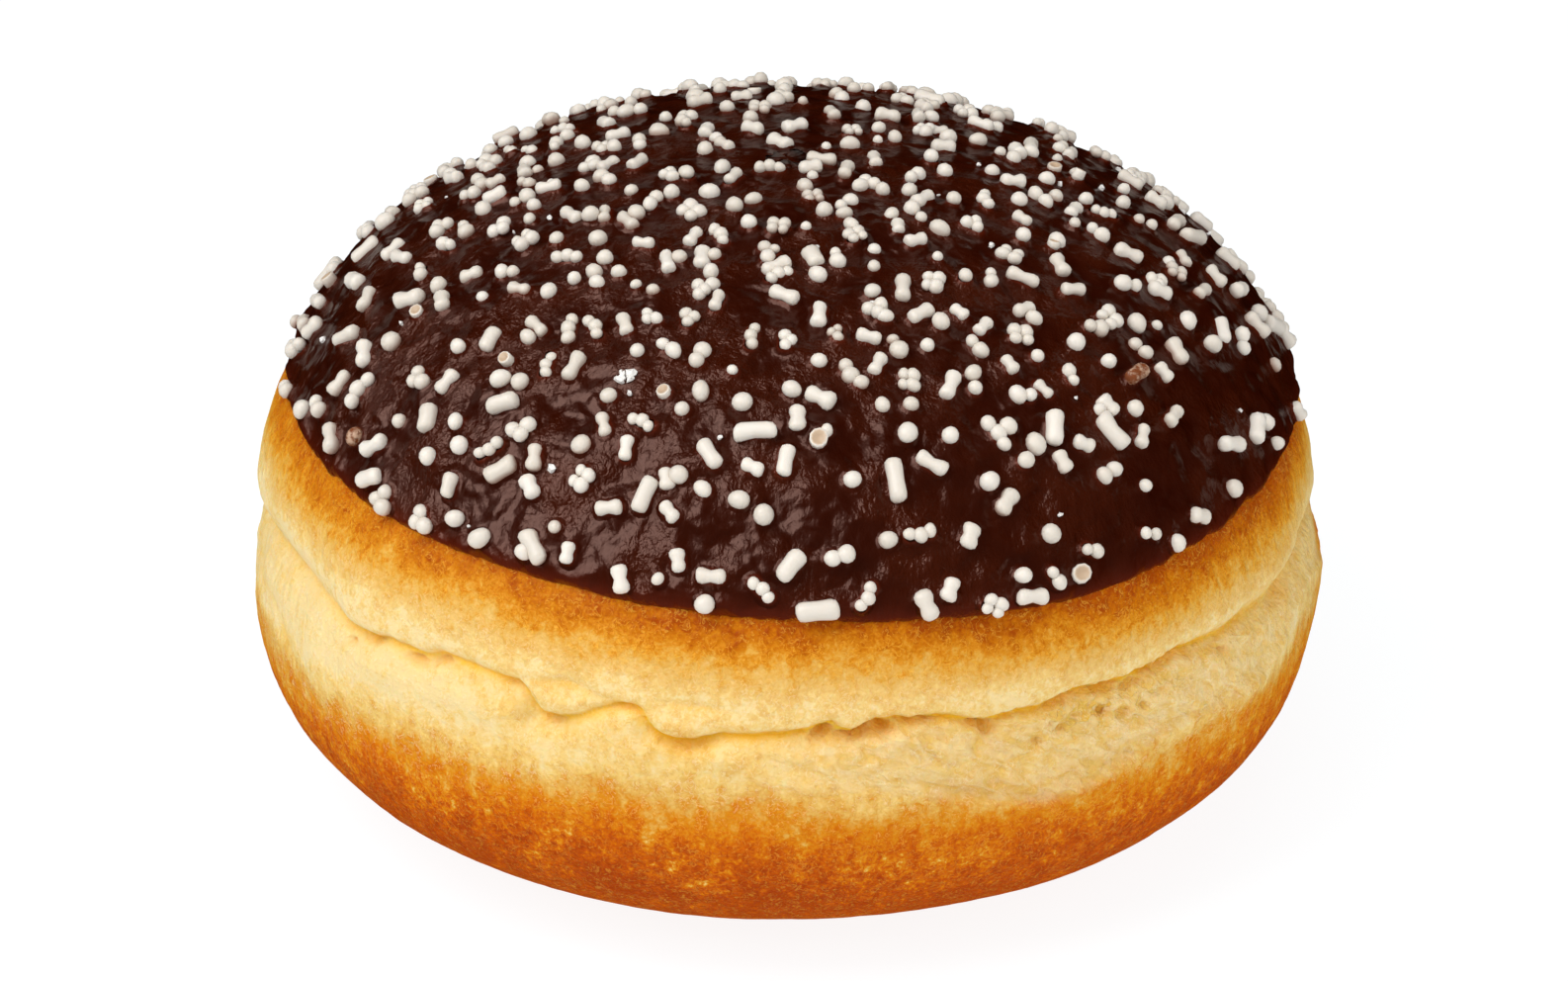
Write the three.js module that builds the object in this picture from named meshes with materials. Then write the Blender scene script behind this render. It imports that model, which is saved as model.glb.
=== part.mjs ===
// A berliner doughnut: a round of fried yeast dough with a pinched crease round its waist, and a
// cap of dark chocolate icing over its dome. Millimetres, +Z up, standing on the table at z = 0.
// Azimuth runs anticlockwise from +X seen from above, so the front of the doughnut is at -90 degrees.
import * as THREE from "three";

// ---- driving dimensions ----
const SEGMENTS = 84; // facets round the doughnut
const WIDEST_RADIUS = 43; // of the lower bulge
const WIDEST_HEIGHT = 20; // of that bulge above the table
const BASE_RADIUS = 18; // the flat spot that the doughnut stands on
const DOUGH_DOME_RISE = 30.6; // from the widest level to the top of the dough
const DOME_FULLNESS = 2.25; // superellipse exponents: 2 is an ellipse, and more is boxier
const BOWL_FULLNESS = 3.24;

const CREASE_RISE = 3.0; // of the pinched crease above the widest level
const CREASE_DEPTH = 2.6;
const CREASE_REACH_BELOW = 2.6; // how fast the crease fades into the lower bulge
const CREASE_REACH_ABOVE = 1.3; // and into the lip above it
const LIP_OVERHANG = 0.7; // how far the lip hangs down over the crease
const LIP_REACH = 1.6;

const ICING_EDGE_RISE = 12.9; // of the icing's edge above the widest level
const ICING_GAP = 0.3; // between the dough and the icing
const ICING_AT_EDGE = 0.75; // thickness behind the rounded edge
const ICING_AT_TOP = 1.1; // thickness on the crown
const ICING_THICKENS_OVER = 0.35; // share of the way from the edge to the top

// Slow waves round the doughnut, each with its number of lobes, its height in millimetres, and the
// azimuth in degrees at which its first crest lies.
const ICING_EDGE_WAVES = [
  { lobes: 1, height: 0.76, crest: 167 },
  { lobes: 2, height: 0.29, crest: 37 },
  { lobes: 3, height: 0.12, crest: 2 },
];
const CREASE_WAVES = [
  { lobes: 1, height: 0.69, crest: -130 },
  { lobes: 2, height: 0.35, crest: 72 },
  { lobes: 5, height: 0.3, crest: -120 },
  { lobes: 9, height: 0.18, crest: 12 },
];
const CREASE_DEPTH_WAVES = [
  { lobes: 3, height: 0.35, crest: -75 },
  { lobes: 7, height: 0.3, crest: 20 },
];
const GIRTH_WAVES = [
  { lobes: 2, height: 0.22, crest: 15 },
  { lobes: 3, height: 0.14, crest: -60 },
  { lobes: 5, height: 0.08, crest: 100 },
];

// ---- materials ----
const doughSkin = new THREE.MeshStandardMaterial({ color: 0xe9bd6c, roughness: 0.62, metalness: 0 });
const chocolateIcing = new THREE.MeshStandardMaterial({ color: 0x38190f, roughness: 0.3, metalness: 0 });

// ---- shared shape functions ----
const smooth = (share) => THREE.MathUtils.smoothstep(share, 0, 1);
const evenShares = (steps) => Array.from({ length: steps + 1 }, (_, i) => i / steps);

function wave(waves, azimuth) {
  return waves.reduce(
    (sum, { lobes, height, crest }) =>
      sum + height * Math.cos(lobes * (azimuth - THREE.MathUtils.degToRad(crest))),
    0,
  );
}

// The depth of the bowl's full superellipse, whose last sliver the table cuts off flat.
const BOWL_DEPTH =
  WIDEST_HEIGHT / (1 - (BASE_RADIUS / WIDEST_RADIUS) ** BOWL_FULLNESS) ** (1 / BOWL_FULLNESS);

// The dough's radius at a height above the widest level, without its crease.
function fullRadius(rise) {
  const [reach, fullness] = rise > 0 ? [DOUGH_DOME_RISE, DOME_FULLNESS] : [BOWL_DEPTH, BOWL_FULLNESS];
  const share = Math.min(Math.abs(rise) / reach, 1);
  return WIDEST_RADIUS * (1 - share ** fullness) ** (1 / fullness);
}

const creaseRise = (azimuth) => CREASE_RISE + wave(CREASE_WAVES, azimuth);
const icingEdgeRise = (azimuth) => ICING_EDGE_RISE + wave(ICING_EDGE_WAVES, azimuth);

// A point at a radius, an azimuth and a height above the widest level, in the doughnut's frame.
// The girth waves swell the middle and leave the base and the crown round.
function place(radius, azimuth, rise) {
  const middle = smooth((radius - BASE_RADIUS) / (WIDEST_RADIUS - BASE_RADIUS));
  const girth = radius + middle * wave(GIRTH_WAVES, azimuth);
  return new THREE.Vector3(
    girth * Math.cos(azimuth),
    girth * Math.sin(azimuth),
    WIDEST_HEIGHT + rise,
  );
}

// The dome above the icing's edge: share runs from 0 at the edge to 1 at the crown.
// Lift moves the point outwards, square to the dome.
function domePoint(azimuth, share, lift) {
  const edge = Math.asin((icingEdgeRise(azimuth) / DOUGH_DOME_RISE) ** (DOME_FULLNESS / 2));
  const turn = THREE.MathUtils.lerp(edge, Math.PI / 2, share);
  const radius = WIDEST_RADIUS * Math.max(Math.cos(turn), 0) ** (2 / DOME_FULLNESS);
  const rise = DOUGH_DOME_RISE * Math.sin(turn) ** (2 / DOME_FULLNESS);
  const outward = new THREE.Vector2(
    (radius / WIDEST_RADIUS) ** (DOME_FULLNESS - 1) / WIDEST_RADIUS,
    (rise / DOUGH_DOME_RISE) ** (DOME_FULLNESS - 1) / DOUGH_DOME_RISE,
  ).setLength(lift);
  return share < 1
    ? place(radius + outward.x, azimuth, rise + outward.y)
    : new THREE.Vector3(0, 0, WIDEST_HEIGHT + DOUGH_DOME_RISE + lift);
}

// A closed skin of revolution whose rings are then placed one by one. Each ring is a function of the
// azimuth, and the first and last rings close on the axis.
function turned(rings) {
  const outline = rings.map((_, i) => new THREE.Vector2(i % (rings.length - 1) ? 1 : 0, i));
  const skin = new THREE.LatheGeometry(outline, SEGMENTS);
  const corners = skin.getAttribute("position");
  for (let column = 0; column <= SEGMENTS; column++) {
    const azimuth = ((column % SEGMENTS) / SEGMENTS) * 2 * Math.PI;
    rings.forEach((ring, row) => {
      corners.setXYZ(column * rings.length + row, ...ring(azimuth));
    });
  }
  skin.computeVertexNormals();
  return skin;
}

// Rings from the flat base to the crease, along the lower bulge. Share 0 is the base's rim.
function bowlRing(share) {
  return (azimuth) => {
    const crease = creaseRise(azimuth);
    const rise = THREE.MathUtils.lerp(-WIDEST_HEIGHT, crease, share);
    return place(fullRadius(rise) - creaseInset(azimuth, rise - crease), azimuth, rise);
  };
}

// Rings from the crease to the icing's edge, along the lip, which hangs a little over the crease.
function lipRing(share) {
  return (azimuth) => {
    const crease = creaseRise(azimuth);
    const rise = THREE.MathUtils.lerp(crease, icingEdgeRise(azimuth), share);
    const sag = LIP_OVERHANG * smooth(share / LIP_STEP) * Math.exp((crease - rise) / LIP_REACH);
    return place(fullRadius(rise) - creaseInset(azimuth, rise - crease), azimuth, rise - sag);
  };
}

function creaseInset(azimuth, above) {
  const depth = CREASE_DEPTH + wave(CREASE_DEPTH_WAVES, azimuth);
  const reach = above < 0 ? CREASE_REACH_BELOW : CREASE_REACH_ABOVE;
  return depth * Math.exp(-Math.abs(above) / reach);
}

// ---- the rings, from the table up ----
const BOWL_STEPS = 14;
const LIP_STEP = 0.06; // the first ring above the crease
const LIP_SHARES = [LIP_STEP, 0.14, 0.26, 0.42, 0.62, 0.82];
const DOME_STEPS = 10;
const DOME_CROWDING = 1.15;
const ICING_NOSE = [0.16, 0.5, 0.84]; // shares of the thickness at which the rounded edge has a ring
const NOSE_DROP = 0.45; // how far the rounded edge stands proud of the icing's foot, downwards

// The bowl's rings crowd together at the base's rim and at the crease, and the dome's at its edge.
const bowlShares = evenShares(BOWL_STEPS).map((share) => (1 - Math.cos(share * Math.PI)) / 2);
const domeShares = evenShares(DOME_STEPS).map((share) => share ** DOME_CROWDING);

function doughRings() {
  const baseCentre = () => new THREE.Vector3(0, 0, 0);
  const baseMiddle = (azimuth) => place(BASE_RADIUS / 2, azimuth, -WIDEST_HEIGHT);
  return [
    baseCentre,
    baseMiddle,
    ...bowlShares.map(bowlRing),
    ...LIP_SHARES.map(lipRing),
    ...domeShares.map((share) => (azimuth) => domePoint(azimuth, share, 0)),
  ];
}

const icingThickness = (share) =>
  THREE.MathUtils.lerp(ICING_AT_EDGE, ICING_AT_TOP, smooth(share / ICING_THICKENS_OVER));

// From the crown down the icing's inner face, round its edge, and up its outer face to the crown.
function icingRings() {
  const inner = domeShares.map((share) => (azimuth) => domePoint(azimuth, share, ICING_GAP));
  const nose = ICING_NOSE.map((height) => (azimuth) => {
    const foot = domePoint(azimuth, 0, ICING_GAP + height * ICING_AT_EDGE);
    foot.z -= NOSE_DROP * Math.sin(height * Math.PI);
    return foot;
  });
  const outer = domeShares.map(
    (share) => (azimuth) => domePoint(azimuth, share, ICING_GAP + icingThickness(share)),
  );
  return [...inner.reverse(), ...nose, ...outer];
}

function piece(name, rings, material) {
  const mesh = new THREE.Mesh(turned(rings), material);
  mesh.name = name;
  return mesh;
}

const berliner = new THREE.Group();
berliner.name = "berliner_doughnut";
berliner.add(piece("dough", doughRings(), doughSkin));
berliner.add(piece("chocolate_icing", icingRings(), chocolateIcing));

export default berliner;
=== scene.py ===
# A berliner doughnut: fried yeast dough with a pinched crease round its waist, a cap of dark
# chocolate icing, and white sugar sprinkles that sit in the icing. Everything is in metres, +Z up,
# and the front of the doughnut faces -Y.
import math
import random

import bpy
import numpy as np
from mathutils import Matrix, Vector, noise
from mathutils.bvhtree import BVHTree
from mathutils.kdtree import KDTree


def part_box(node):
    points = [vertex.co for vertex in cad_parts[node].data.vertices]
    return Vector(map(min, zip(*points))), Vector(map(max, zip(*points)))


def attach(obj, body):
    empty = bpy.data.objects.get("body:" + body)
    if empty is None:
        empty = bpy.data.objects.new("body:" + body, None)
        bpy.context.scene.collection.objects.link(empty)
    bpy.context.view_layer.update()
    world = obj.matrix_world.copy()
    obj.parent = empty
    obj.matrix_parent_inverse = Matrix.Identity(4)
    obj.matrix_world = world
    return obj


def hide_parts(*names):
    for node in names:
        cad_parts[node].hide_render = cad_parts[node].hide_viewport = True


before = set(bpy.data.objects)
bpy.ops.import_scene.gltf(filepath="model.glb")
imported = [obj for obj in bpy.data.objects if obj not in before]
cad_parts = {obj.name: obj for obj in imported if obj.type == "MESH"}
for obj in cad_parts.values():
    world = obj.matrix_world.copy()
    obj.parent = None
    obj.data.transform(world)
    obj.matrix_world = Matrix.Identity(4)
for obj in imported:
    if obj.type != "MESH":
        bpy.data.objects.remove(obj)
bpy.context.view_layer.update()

MM = 0.001
TURN = 2 * math.pi

# ---- sizes, worked out from the frame ----
dough_low, dough_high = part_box("dough")
icing_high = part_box("chocolate_icing")[1]
GIRTH = (dough_high.x - dough_low.x) / 2  # radius of the lower bulge
WAIST = 0.3953 * dough_high.z  # height of the widest level above the table
DOME_RISE = dough_high.z - WAIST  # from the widest level to the top of the dough
ICING_TOP = icing_high.z - dough_high.z  # how far the icing stands above the dough's crown
BASE = 0.42 * GIRTH  # radius of the flat spot underneath
DOME_FULLNESS = 2.25  # superellipse exponents
BOWL_FULLNESS = 3.24
BOWL_DEPTH = WAIST / (1 - (BASE / GIRTH) ** BOWL_FULLNESS) ** (1 / BOWL_FULLNESS)

FACETS = 720  # steps round the dough and the icing

# ---- lines round the doughnut: (azimuth in degrees, height above the widest level) ----
# The front is at -90 degrees, and the azimuth runs anticlockwise seen from above.
CREASE_LINE = [
    (-166, 4.3), (-154, 4.9), (-145, 4.6), (-139, 4.7), (-132, 5.2), (-126, 5.9), (-119, 5.6), (-112, 4.9),
    (-105, 4.9), (-99, 3.9), (-90, 4.3), (-84, 4.5), (-74, 4.7), (-68, 4.0), (-60, 4.3), (-52, 4.2),
    (-45, 4.5), (-37, 4.0), (-27, 3.4), (-16, 3.5), (0, 2.9), (20, 2.6), (70, 2.0), (115, 3.1), (160, 3.0),
]  # fmt: skip
ICING_LINE = [
    (-166, 13.95), (-140, 13.7), (-119, 13.55), (-105, 13.15), (-90, 12.8), (-77, 12.3), (-64, 11.7),
    (-49, 11.45), (-40, 11.85), (-26, 12.15), (0, 12.5), (45, 12.2), (90, 13.1), (140, 13.4),
]  # fmt: skip
UPPER_TOAST_LINE = [
    (-165, 11.4), (-142, 11.1), (-126, 11.4), (-109, 10.5), (-90, 10.0), (-74, 9.7), (-59, 8.8),
    (-44, 8.6), (-30, 8.5), (0, 9.6), (45, 9.3), (90, 10.4), (140, 10.6),
]  # fmt: skip
LOWER_TOAST_LINE = [
    (-160, -4.6), (-148, -4.4), (-135, -3.0), (-121, -2.7), (-106, -2.2), (-97, -3.0), (-90, -2.6),
    (-84, -3.4), (-67, -3.6), (-50, -4.1), (-32, -3.7), (-6, -3.0), (3, 0.5), (14, 0.0), (40, -4.4),
    (90, -2.6), (140, -4.2),
]  # fmt: skip
SKIN_EDGE_LINE = [
    (-165, -1.2), (-150, -2.6), (-120, -3.0), (-100, -2.0), (-85, -0.3), (-80, -0.9), (-76, -1.7),
    (-70, -3.0), (-63, -4.1), (-58, -3.8), (-54, -2.9), (-50, -1.8), (-42, -1.3), (-34, -1.8), (-27, -0.9),
    (-22, 0.9), (-15, 1.0), (-4, -1.8), (30, -1.5), (80, -2.5), (130, -1.0),
]  # fmt: skip


def line_round(knots, softness):
    """A smooth periodic line through knots, as a function from azimuths to heights in metres."""
    azimuths, heights = np.array(knots).T
    samples = np.linspace(-180, 180, 1440, endpoint=False)
    line = np.interp(samples, azimuths, heights * MM, period=360)
    reach = np.arange(-60, 61) / 4
    weights = np.exp(-((reach / softness) ** 2))
    soft = np.convolve(np.tile(line, 3), weights / weights.sum(), "same")[1440:2880]
    return lambda azimuth: np.interp(np.degrees(azimuth), samples, soft, period=360)


crease_line = line_round(CREASE_LINE, 4)
icing_line = line_round(ICING_LINE, 5)
upper_toast_line = line_round(UPPER_TOAST_LINE, 4)
lower_toast_line = line_round(LOWER_TOAST_LINE, 3)
skin_edge_line = line_round(SKIN_EDGE_LINE, 1.5)


def fade(low, high, values):
    """0 below low, 1 above high, smooth between them."""
    share = np.clip((values - low) / (high - low), 0, 1)
    return share * share * (3 - 2 * share)


def bump_at(azimuth, middle, half_width):
    """1 at an azimuth in degrees, fading away over half_width degrees to either side."""
    away = (np.degrees(azimuth) - middle + 180) % 360 - 180
    return np.exp(-((away / half_width) ** 2))


def rough(points, grain, octaves=3, seed=0):
    """Fractal noise of about -1 to 1 at each point, with lumps about grain metres across."""
    shift = Vector((seed * 17.3, seed * 5.1, seed * 11.7))
    return np.array([noise.fractal(Vector(p) / grain + shift, 1.0, 2.0, octaves) for p in points])


def pores(points, grain, seed=0):
    """0 in the middle of each pore and up to about 1 on the walls between pores."""
    shift = Vector((seed * 13.1, seed * 7.7, seed * 3.3))
    found = [noise.voronoi(Vector(p) / grain + shift)[0] for p in points]
    return np.array([near[1] - near[0] for near in found])


# ---- modelling ----
def deselect():
    bpy.ops.object.select_all(action="DESELECT")


def spun(name, outline, facets):
    """A closed skin from an outline of (radius, height) points spun round the Z axis. Each vertex
    keeps the number of its outline point in the attribute row."""
    deselect()
    bpy.ops.mesh.primitive_plane_add(size=MM)
    piece = bpy.context.object
    piece.name = piece.data.name = name
    bpy.ops.object.mode_set(mode="EDIT")
    bpy.ops.mesh.select_all(action="SELECT")
    bpy.ops.mesh.merge(type="CENTER")
    bpy.ops.transform.translate(value=(outline[0][0], 0, outline[0][1]))
    for (radius, height), (next_radius, next_height) in zip(outline, outline[1:]):
        step = (next_radius - radius, 0, next_height - height)
        bpy.ops.mesh.extrude_region_move(TRANSFORM_OT_translate={"value": step})
    bpy.ops.object.mode_set(mode="OBJECT")
    rows = piece.data.attributes.new("row", "INT", "POINT")
    rows.data.foreach_set("value", range(len(outline)))
    bpy.ops.object.mode_set(mode="EDIT")
    bpy.ops.mesh.select_all(action="SELECT")
    bpy.ops.mesh.spin(steps=facets, angle=TURN, center=(0, 0, 0), axis=(0, 0, 1))
    bpy.ops.mesh.select_all(action="SELECT")
    bpy.ops.mesh.remove_doubles(threshold=0.0002 * MM)
    bpy.ops.mesh.normals_make_consistent(inside=False)
    bpy.ops.object.mode_set(mode="OBJECT")
    piece.data.polygons.foreach_set("use_smooth", [True] * len(piece.data.polygons))
    return piece


def corners(piece):
    """A piece's vertices as an array."""
    spots = np.zeros(len(piece.data.vertices) * 3)
    piece.data.vertices.foreach_get("co", spots)
    return spots.reshape(-1, 3)


def move_corners(piece, spots):
    piece.data.vertices.foreach_set("co", np.ascontiguousarray(spots).ravel())
    piece.data.update()


def rows_of(piece):
    found = np.zeros(len(piece.data.vertices), dtype=np.int32)
    piece.data.attributes["row"].data.foreach_get("value", found)
    return found


def paint(piece, name, values):
    """Keeps one number for each vertex, for a material to read."""
    marks = piece.data.attributes.new(name, "FLOAT", "POINT")
    marks.data.foreach_set("value", np.asarray(values, dtype=np.float32))


def wrap(radius, azimuth, height):
    """Points on an upright cylinder, on which a pattern closes on itself."""
    return np.stack([radius * np.cos(azimuth), radius * np.sin(azimuth), height + 0 * azimuth], axis=1)


def round_point(radius, azimuth, rise):
    return wrap(radius, azimuth, WAIST + rise)


def joined(name, spots, faces, smooth=True):
    """One piece made of the points and faces of many small shapes."""
    mesh = bpy.data.meshes.new(name)
    mesh.from_pydata(spots, [], faces)
    mesh.polygons.foreach_set("use_smooth", [smooth] * len(mesh.polygons))
    mesh.update()
    piece = bpy.data.objects.new(name, mesh)
    bpy.context.scene.collection.objects.link(piece)
    return piece


def full_radius(rise):
    """The dough's radius at a height above its widest level, before it is creased."""
    up = np.clip(rise / DOME_RISE, 0, 1) ** DOME_FULLNESS
    down = np.clip(-rise / BOWL_DEPTH, 0, 1) ** BOWL_FULLNESS
    return GIRTH * np.where(rise > 0, (1 - up) ** (1 / DOME_FULLNESS), (1 - down) ** (1 / BOWL_FULLNESS))


def dome(azimuth, share, lift):
    """Points lifted square off the dome above the icing's edge, with their outward directions.
    Share runs from 0 at the edge to 1 at the crown."""
    edge = np.arcsin((icing_line(azimuth) / DOME_RISE) ** (DOME_FULLNESS / 2))
    turn = edge + share * (TURN / 4 - edge)
    radius = GIRTH * np.clip(np.cos(turn), 0, 1) ** (2 / DOME_FULLNESS)
    rise = DOME_RISE * np.sin(turn) ** (2 / DOME_FULLNESS)
    out = (radius / GIRTH) ** (DOME_FULLNESS - 1) / GIRTH
    up = (rise / DOME_RISE) ** (DOME_FULLNESS - 1) / DOME_RISE
    length = np.hypot(out, up)
    out, up = out / length, up / length
    facing = np.stack([out * np.cos(azimuth), out * np.sin(azimuth), up], axis=1)
    return round_point(radius + out * lift, azimuth, rise + up * lift), facing


# ---- the dough ----
CREASE_MEAN = 4.2 * MM
FOLDED_LOW = -8 * MM  # the skin is folded between these two heights above the widest level
FOLDED_HIGH = 12 * MM
BASE_RINGS = (0, 0.3, 0.6, 0.85)  # rings of the flat spot, as shares of its radius
FULL_GAP_SHADE = 1.8  # a gap this deep, in mm, gets the full painted shade of a hole

# Folds are lines of (azimuth in degrees, height, depth, softness), in millimetres above the widest
# level, and for the crease also how softly the skin above it turns in. The skin above a fold hangs
# over it, and the skin below comes out from under it softly.
CREASE = [
    (-166, 4.1, 1.9, 2.4, 1.7), (-161, 4.7, 1.8, 2.4, 1.7), (-154, 4.8, 1.7, 2.4, 1.7),
    (-150, 5, 1.28, 2.2, 1.53), (-147, 4.8, 1.28, 2, 1.4), (-144.7, 4.45, 1.28, 1.7, 1.11),
    (-142.7, 4.25, 1.28, 1.2, 0.86), (-140.4, 4.4, 1.12, 0.9, 0.6), (-138.3, 4.7, 1.04, 0.7, 0.51),
    (-136, 5.1, 0.88, 0.6, 0.45), (-132.2, 5.1, 0.82, 0.8, 0.45), (-130.7, 5.05, 0.88, 0.9, 0.45),
    (-128.7, 5.8, 0.82, 0.8, 0.45), (-127.4, 5.9, 0.75, 0.7, 0.45), (-124, 5.8, 0.62, 0.7, 0.45),
    (-120.4, 5.8, 0.62, 0.8, 0.45), (-118.6, 5.8, 0.72, 0.8, 0.45), (-117.6, 5.4, 0.65, 0.6, 0.45),
    (-116.9, 4.4, 0.65, 0.6, 0.45), (-116.3, 3.75, 0.79, 0.7, 0.45), (-115.5, 3.4, 0.94, 0.8, 0.45),
    (-114.4, 3.4, 0.94, 0.7, 0.45), (-112.7, 3.75, 0.71, 0.6, 0.45), (-111.1, 4.3, 0.71, 0.6, 0.45),
    (-109.7, 4.9, 0.71, 0.6, 0.45), (-108.7, 5.25, 0.71, 0.6, 0.45), (-107.4, 5.65, 0.77, 0.7, 0.45),
    (-105.8, 5.65, 0.77, 0.7, 0.45), (-104.9, 5.4, 0.71, 0.6, 0.45), (-104.4, 4.7, 0.65, 0.6, 0.45),
    (-103.7, 3.95, 0.71, 0.7, 0.45), (-102.7, 3.4, 1.05, 0.8, 0.45), (-101.1, 3.05, 1.21, 0.8, 0.45),
    (-99.6, 3.05, 1.21, 0.8, 0.45), (-98.1, 3.4, 1.05, 0.7, 0.45), (-96.6, 3.8, 0.96, 0.6, 0.45),
    (-93.6, 3.9, 0.88, 0.8, 0.45), (-90.6, 4.05, 1.05, 0.9, 0.45), (-88.2, 4.25, 1.17, 0.9, 0.45),
    (-86.2, 4.55, 1.27, 0.9, 0.45), (-85.5, 4.75, 1.17, 0.6, 0.45), (-84.9, 4.05, 1.08, 0.6, 0.45),
    (-83.8, 3.8, 1.27, 0.8, 0.45), (-82.8, 3.9, 1.27, 0.7, 0.45), (-81.7, 4.45, 1.27, 0.7, 0.45),
    (-80.8, 4.75, 1.36, 0.9, 0.45), (-77.1, 4.65, 1.08, 0.9, 0.45), (-73.5, 4.45, 0.97, 0.9, 0.45),
    (-71.5, 3.95, 1.08, 0.8, 0.45), (-69.8, 3.55, 1.27, 0.9, 0.45), (-67.7, 3.65, 1.17, 0.8, 0.45),
    (-65.5, 3.85, 1.15, 0.7, 0.45), (-63.2, 3.8, 1.15, 0.8, 0.45), (-62, 4.15, 1.27, 0.8, 0.45),
    (-58, 4.15, 1.27, 0.8, 0.45), (-54.5, 3.85, 1.38, 0.8, 0.45), (-51.5, 3.95, 1.49, 0.8, 0.49),
    (-48.7, 4.05, 1.38, 0.8, 0.54), (-45.8, 4.35, 1.27, 0.9, 0.64), (-42, 4.05, 1.38, 1, 0.8),
    (-38, 3.65, 1.49, 1.2, 1), (-33, 3.75, 1.61, 1.4, 1.2), (-27, 3.3, 1.6, 1.6, 1.4),
    (-20, 3.35, 1.7, 1.8, 1.4), (-15, 3.6, 1.8, 1.8, 1.4), (0, 2.9, 2, 1.7, 1), (20, 2.6, 1.8, 1.4, 0.7),
    (48, 2.5, 1.6, 1.2, 0.68), (53, 2.3, 1.2, 0.6, 0.68), (55, 1, 1.3, 0.7, 0.68),
    (59, 0.5, 1.6, 0.8, 0.68), (64, 1.6, 1.4, 0.8, 0.67), (72, 2, 1.8, 1.6, 0.67), (95, 2.7, 2, 1.9, 0.65),
    (115, 3.1, 1.8, 1.4, 0.64), (138, 2.9, 1.5, 1.1, 0.63), (141, 1.7, 1.3, 0.7, 0.62),
    (145, 1.2, 1.6, 0.8, 0.62), (150, 2.1, 1.6, 1, 0.62), (165, 2.9, 1.9, 1.8, 0.61),
    (180, 3.6, 1.9, 2.2, 0.6),
]  # fmt: skip
OTHER_FOLDS = [
    [  # above the two flaps at the front
        (-118, 6.2, 0.0, 0.6), (-115.3, 6.3, 0.35, 0.7), (-113.2, 6.65, 0.45, 0.8), (-111.5, 6.55, 0.4, 0.7),
        (-109.5, 6.0, 0.3, 0.6), (-107.5, 5.9, 0.0, 0.6),
    ],
    [
        (-105, 5.8, 0.0, 0.6), (-101.7, 6.1, 0.3, 0.8), (-99.6, 6.1, 0.32, 0.8), (-97.4, 5.9, 0.25, 0.8),
        (-95, 5.8, 0.0, 0.8),
    ],
    [(-45, 4.3, 0.0, 0.4), (-43, 3.75, 0.4, 0.4), (-41.2, 3.25, 0.55, 0.5), (-39.5, 3.0, 0.5, 0.4),
     (-38, 3.2, 0.3, 0.4), (-37, 3.8, 0.0, 0.4)],  # a scrap of skin that overlaps at the right
    [(-168, -0.2, 0.0, 0.7), (-161, 0.2, 0.3, 0.8), (-156, -1.6, 0.25, 0.8), (-151, -3.2, 0.0, 0.7)],
    [(-146, 2.0, 0.0, 0.6), (-143.5, 2.5, 0.25, 0.6), (-141, 3.6, 0.3, 0.5), (-139, 4.4, 0.0, 0.5)],
    [(60, 4.2, 0.0, 0.7), (70, 3.9, 0.5, 0.9), (80, 3.3, 0.4, 0.9), (90, 2.9, 0.0, 0.7)],
    [  # a low crest, where the torn band meets smoother skin
        (-61, 0.3, 0.0, 0.8), (-57, -0.3, -0.22, 0.8), (-50, -0.7, -0.28, 0.9), (-44.7, -0.5, -0.32, 0.9),
        (-38, -1.2, -0.38, 0.9), (-32, -1.4, -0.42, 0.9), (-27, -0.6, -0.38, 0.8), (-23.5, 1.5, -0.3, 0.8),
        (-20, 2.6, 0.0, 0.7),
    ],
]  # fmt: skip
# Soft bulges and hollows: (azimuth, height, half width, half height, how far it stands out), in mm.
SWELLINGS = [
    (-112.6, 5.1, 1.9, 0.8, 0.3),
    (-100.4, 4.6, 2.4, 1.0, 0.32),
    (-117.4, 3.1, 0.9, 1.4, -0.7),
    (-115.0, 2.8, 1.7, 0.6, -0.45),
    (-119.6, 4.9, 1.6, 0.8, -0.3),
    (-104.6, 3.5, 0.8, 0.9, -0.45),
    (-97.0, 2.0, 2.2, 0.8, 0.25),
    (-124.0, 3.2, 4.5, 1.4, 0.35),
    (-138.0, 2.6, 3.5, 1.1, 0.35),
    (-147.0, -0.6, 6.0, 2.5, 0.5),
    (-88.0, 0.2, 3.0, 1.6, 0.3),
    (58.0, 2.0, 2.4, 0.9, 0.4),
    (144.0, 2.4, 2.2, 0.8, 0.4),
    (20.0, -1.0, 9.0, 2.5, 0.4),
]
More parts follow.
